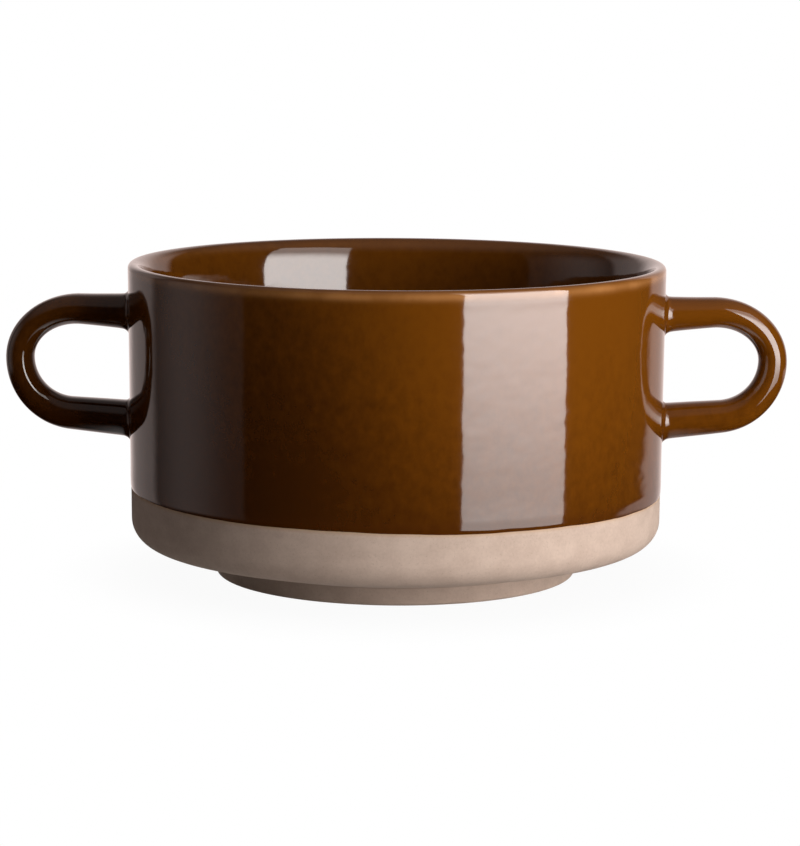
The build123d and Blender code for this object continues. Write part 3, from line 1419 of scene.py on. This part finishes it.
@dataclass
class Foot(SubAssembly):
    """The foot ring and the slip that lutes it to the underside."""

    bowl: BowlShape
    clay: bpy.types.Material
    slip: bpy.types.Material
    width: float = 5.5 * MM
    draft: float = radians(7.0)
    edge_radius: float = 0.8 * MM
    row_spacing: float = 0.7 * MM
    squeezed: float = 0.35 * MM
    squeeze_share: float = 0.3

    def turned(self, name: str, outline: Sequence[Flat], finish: bpy.types.Material) -> bpy.types.Object:
        """Turns a closed outline about the axis.

        Args:
            name: Name of the piece.
            outline: Radii and heights.
            finish: Its material.

        Returns:
            The new object.
        """
        skin = Skin()
        rings = [self.bowl.lathe(skin, radius, height) for radius, height in outline]
        skin.chain(rings + [rings[0]])
        return skin.piece(name, finish)

    def build(self) -> None:
        """Builds the foot ring and its slip."""
        low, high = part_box("foot_ring")
        top_radius = high.y
        bottom_radius = top_radius - high.z * tan(self.draft)
        inner_bottom = bottom_radius - self.width
        inner_top = inner_bottom - high.z * tan(self.draft)
        corners = [
            (top_radius, high.z),
            (bottom_radius, low.z),
            (inner_bottom, low.z),
            (inner_top, high.z),
        ]
        outline = [
            corners[0],
            *rounded_corner(corners[0], corners[1], corners[2], self.edge_radius),
            *rounded_corner(corners[1], corners[2], corners[3], self.edge_radius),
            corners[3],
        ]
        ring = self.turned("foot", spaced(outline, self.row_spacing), self.clay)
        self.seat(ring, Slot.CLAY, "foot_ring")
        seat = self.bowl.seat_height
        bulge = self.squeeze_share * self.squeezed
        bulge_height = high.z + self.squeeze_share * (seat - high.z)
        bed = [
            (top_radius, high.z),
            (top_radius + bulge, bulge_height),
            (top_radius + self.squeezed, seat),
            (inner_top - self.squeezed, seat),
            (inner_top - bulge, bulge_height),
            (inner_top, high.z),
        ]
        self.seat(self.turned("foot_bed", bed, self.slip), Slot.SLIP, "foot_slip")


@dataclass(frozen=True)
class View:
    """Camera of the photograph, fitted to the bowl's outlines in it."""

    picture_height: float = 846.0
    focal_pixels: float = 3135.0
    distance: float = 735.0 * MM
    elevation: float = radians(8.55)
    roll: float = radians(0.35)
    aim: Solid = (0.9 * MM, 0.0, 34.93 * MM)
    centre_height: float = 36.0 * MM
    sensor: float = 36.0
    near_clip: float = 10.0 * MM

    def place(self) -> None:
        """Adds the camera to the scene."""
        camera = bpy.data.cameras.new("camera")
        camera.sensor_width = self.sensor
        camera.lens = self.focal_pixels * self.sensor / self.picture_height
        camera.clip_start = self.near_clip
        holder = bpy.data.objects.new("camera", camera)
        place = Vector((0.0, -cos(self.elevation), sin(self.elevation))) * self.distance
        place.z += self.centre_height
        level = (Vector(self.aim) - place).to_track_quat("-Z", "Y").to_matrix()
        turn = level @ Matrix.Rotation(self.roll, 3, "Z")
        holder.matrix_world = Matrix.Translation(place) @ turn.to_4x4()
        bpy.context.scene.collection.objects.link(holder)
        bpy.context.scene.camera = holder


@dataclass(frozen=True)
class Panel:
    """The soft light panel, which stands upright between two points of the table and faces the bowl.

    It is dimmer towards its lower edge, and again towards its upper edge. The ranges are shares of its
    height.
    """

    name: str = "key_panel"
    near_end: Flat = (225.0 * MM, -458.0 * MM)
    far_end: Flat = (474.0 * MM, -158.0 * MM)
    bottom: float = -112.0 * MM
    top: float = 600.0 * MM
    radiance: float = 6.2
    colour: Colour = (1.0, 0.965, 0.945)
    low_level: float = 0.4
    low_range: Flat = (0.045, 0.224)
    high_loss: float = 0.75
    high_range: Flat = (0.486, 0.73)

    def place(self) -> None:
        """Adds the panel to the scene."""
        one, other = Vector(self.near_end), Vector(self.far_end)
        middle = (one + other) / 2
        along = (other - one).normalized()
        width = (other - one).length
        height = self.top - self.bottom
        lamp = bpy.data.lights.new(self.name, "AREA")
        lamp.shape = "RECTANGLE"
        lamp.size = width
        lamp.size_y = height
        lamp.energy = self.radiance * pi * width * height
        lamp.use_nodes = True
        nodes = Nodes(lamp.node_tree)
        across = nodes.add("ShaderNodeNewGeometry", output="Parametric")
        upward = nodes.add("ShaderNodeSeparateXYZ", inputs={0: across}, output="Y")
        level = self.low_level + (1.0 - self.low_level) * upward.eased(*self.low_range)
        level = level - self.high_loss * upward.eased(*self.high_range)
        glow = nodes.add("ShaderNodeEmission", inputs={"Color": (*self.colour, 1.0), "Strength": level})
        nodes.add("ShaderNodeOutputLight", inputs={"Surface": glow})
        holder = bpy.data.objects.new(self.name, lamp)
        turn = Vector((-along.y, along.x, 0.0)).to_track_quat("-Z", "Y").to_matrix()
        stand = Matrix.Translation((middle.x, middle.y, (self.bottom + self.top) / 2))
        holder.matrix_world = stand @ turn.to_4x4()
        holder.visible_camera = False
        bpy.context.scene.collection.objects.link(holder)
        LOG.info("%s: light panel, %.0f by %.0f mm", self.name, width / MM, height / MM)


@dataclass(frozen=True)
class Studio:
    """Floor, surroundings and light of the photograph.

    Directions around the bowl are angles from the viewer's side, to the left or to the right. Directions up
    and down are the height of a step of length 1.
    """

    panel: Panel = Panel()
    floor_radius: float = 200.0 * MM
    floor_fade: float = 60.0 * MM
    floor_drop: float = 0.15 * MM
    floor_rings: tuple[float, ...] = (0.1, 0.25, 0.4, 0.55, 0.7, 0.85, 1.0)
    floor_columns: int = 96
    floor_shade: Colour = (0.6, 0.6, 0.6)
    shadow_share: float = 0.05
    mirrored_radius: float = 85.0 * MM
    mirrored_fade: float = 35.0 * MM
    room: float = 0.008
    warm: Colour = (1.0, 0.88, 0.85)
    rosy: Colour = (1.0, 0.83, 0.79)
    card_start: Flat = (radians(66), radians(69))
    card_rise: Flat = (radians(70), radians(98))
    card_fall: Flat = (radians(100), radians(127))
    card_edge: float = 0.08
    card_middle: float = 0.17
    left_wall: float = 0.37
    left_start: Flat = (radians(122), radians(130))
    right_wall: float = 0.6
    right_start: Flat = (radians(133), radians(141))
    side_swap: Flat = (-0.1, 0.1)
    table_sweep: float = radians(25)
    table_range: Flat = (0.15, 0.22)
    walls_end: Flat = (0.3, 0.65)
    ceiling: float = 0.14
    ceiling_start: Flat = (0.45, 0.8)
    ground_end: Flat = (-0.36, -0.22)
    backdrop: float = 1.0
    backdrop_start: Flat = (radians(150), radians(176))
    backdrop_end: Flat = (0.45, 0.9)
    mirrored_share: float = 0.66

    def place(self) -> None:
        """Adds the floor, the world and the light."""
        self.place_floor()
        self.place_world()
        self.panel.place()
        bpy.context.scene.view_settings.view_transform = "Standard"

    def place_floor(self) -> None:
        """Adds a pale round floor that runs out into white."""
        skin = Skin()
        turns = [FULL_TURN * step / self.floor_columns for step in range(self.floor_columns)]
        rings = []
        for share in self.floor_rings:
            radius = self.floor_radius * share
            points = [(radius * cos(turn), radius * sin(turn), -self.floor_drop) for turn in turns]
            rings.append(skin.ring(points))
        skin.chain(rings)
        skin.fan(rings[0], (0.0, 0.0, -self.floor_drop))
        floor = skin.piece("floor", self.floor_material())

    def floor_material(self) -> bpy.types.Material:
        """Builds the floor's material: lit near the bowl, plain white to the eye further out.

        Returns:
            The material.
        """
        material, nodes = new_material("floor")
        place = nodes.add("ShaderNodeTexCoord", output="Object")
        reach = nodes.add("ShaderNodeVectorMath", {"operation": "LENGTH"}, {0: place}, "Value")
        near = 1.0 - reach.eased(self.mirrored_radius - self.mirrored_fade, self.mirrored_radius)
        whole = 1.0 - reach.eased(self.floor_radius - self.floor_fade, self.floor_radius)
        path = nodes.add("ShaderNodeLightPath", output="Is Camera Ray")
        mirrored = path.output("Is Glossy Ray")
        whole = whole + mirrored * (near - whole)
        seen = path + mirrored + path.output("Is Transmission Ray")
        lit = nodes.add("ShaderNodeBsdfDiffuse", inputs={"Color": (*self.floor_shade, 1.0)})
        white = nodes.add("ShaderNodeEmission", inputs={"Color": (*WHITE, 1.0)})
        clear = nodes.add("ShaderNodeBsdfTransparent")
        unlit = seen * (1.0 - self.shadow_share * near)
        shown = nodes.add("ShaderNodeMixShader", inputs={0: unlit, 1: lit, 2: white})
        faded = nodes.add("ShaderNodeMixShader", inputs={0: whole, 1: clear, 2: shown})
        nodes.add("ShaderNodeOutputMaterial", inputs={"Surface": faded})
        return material

    def place_world(self) -> None:
        """Adds the surroundings: white behind the bowl, a dim card to its left and a dark room in front."""
        world = bpy.data.worlds.new("surroundings")
        world.use_nodes = True
        nodes = Nodes(world.node_tree)
        way = nodes.add("ShaderNodeTexCoord", output="Generated")
        parts = nodes.add("ShaderNodeSeparateXYZ", inputs={0: way})
        nearer = 0.0 - parts.output("Y")
        rightward = nodes.add("ShaderNodeMath", {"operation": "ARCTAN2"}, {0: parts, 1: nearer})
        leftward = 0.0 - rightward
        up = parts.output("Z")
        table = self.table_sweep * (0.0 - up).eased(*self.table_range)
        beside = leftward.eased(*self.left_start) + (rightward + table).eased(*self.right_start)
        behind = abs(rightward).eased(*self.backdrop_start)
        card = leftward.eased(*self.card_start)
        bright = leftward.eased(*self.card_rise) - leftward.eased(*self.card_fall)
        front = self.room + card * (self.card_edge + self.card_middle * bright)
        side = self.left_wall + (self.right_wall - self.left_wall) * rightward.eased(*self.side_swap)
        back = side + behind * (self.backdrop - side)
        walls = (front * (1.0 - beside) + back * beside) * (1.0 - up.eased(*self.walls_end))
        level = (walls + self.ceiling * up.eased(*self.ceiling_start)) * up.eased(*self.ground_end)
        path = nodes.add("ShaderNodeLightPath", output="Is Camera Ray")
        mirrored = path.output("Is Glossy Ray") + path.output("Is Transmission Ray")
        seen = path + self.mirrored_share * behind * (1.0 - up.eased(*self.backdrop_end)) * mirrored
        strength = level * (1.0 - seen) + self.backdrop * seen
        tint = nodes.mix(path, nodes.mix(mirrored, self.warm, self.rosy), WHITE)
        background = nodes.add("ShaderNodeBackground", inputs={"Color": tint, "Strength": strength})
        nodes.add("ShaderNodeOutputWorld", inputs={"Surface": background})
        bpy.context.scene.world = world


def dress_hidden_nodes(
    nodes: dict[str, bpy.types.Object],
    finishes: dict[Slot, bpy.types.Material],
) -> None:
    """Gives the clay and slip inside the handles their finishes.

    Args:
        nodes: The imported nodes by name.
        finishes: The materials by slot.
    """
    for side in Side:
        name = f"{side.name.lower()}_handle"
        for node, slot in ((name, Slot.CLAY), (f"{name}_slip", Slot.SLIP)):
            mesh = nodes[node].data
            mesh.materials.clear()
            mesh.materials.append(finishes[slot])
            LOG.info("%s: packed node in its own finish", node)


def main() -> None:
    """Builds the bowl around its frame, and the studio around the bowl."""
    logging.basicConfig(level=logging.INFO, format="%(name)s: %(message)s")
    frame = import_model()
    finishes = {
        Slot.CLAY: ClayFinish().material(),
        Slot.SLIP: ClayFinish(name="fired_slip", pale=SLIP_PALE).material(),
        Slot.GLAZE: GlazeFinish().material(),
    }
    bowl = BowlShape.from_frame()
    handle = HandleShape.from_frame(bowl)
    ClayBody(bowl, finishes[Slot.CLAY]).build()
    GlazeCoat(bowl, handle.roots(bowl), finishes[Slot.GLAZE]).build()
    for side in Side:
        Handle(side, bowl, handle, finishes[Slot.GLAZE]).build()
    Foot(bowl, finishes[Slot.CLAY], finishes[Slot.SLIP]).build()
    dress_hidden_nodes(frame["nodes"], finishes)
    View().place()
    Studio().place()


if __name__ == "__main__":
    main()
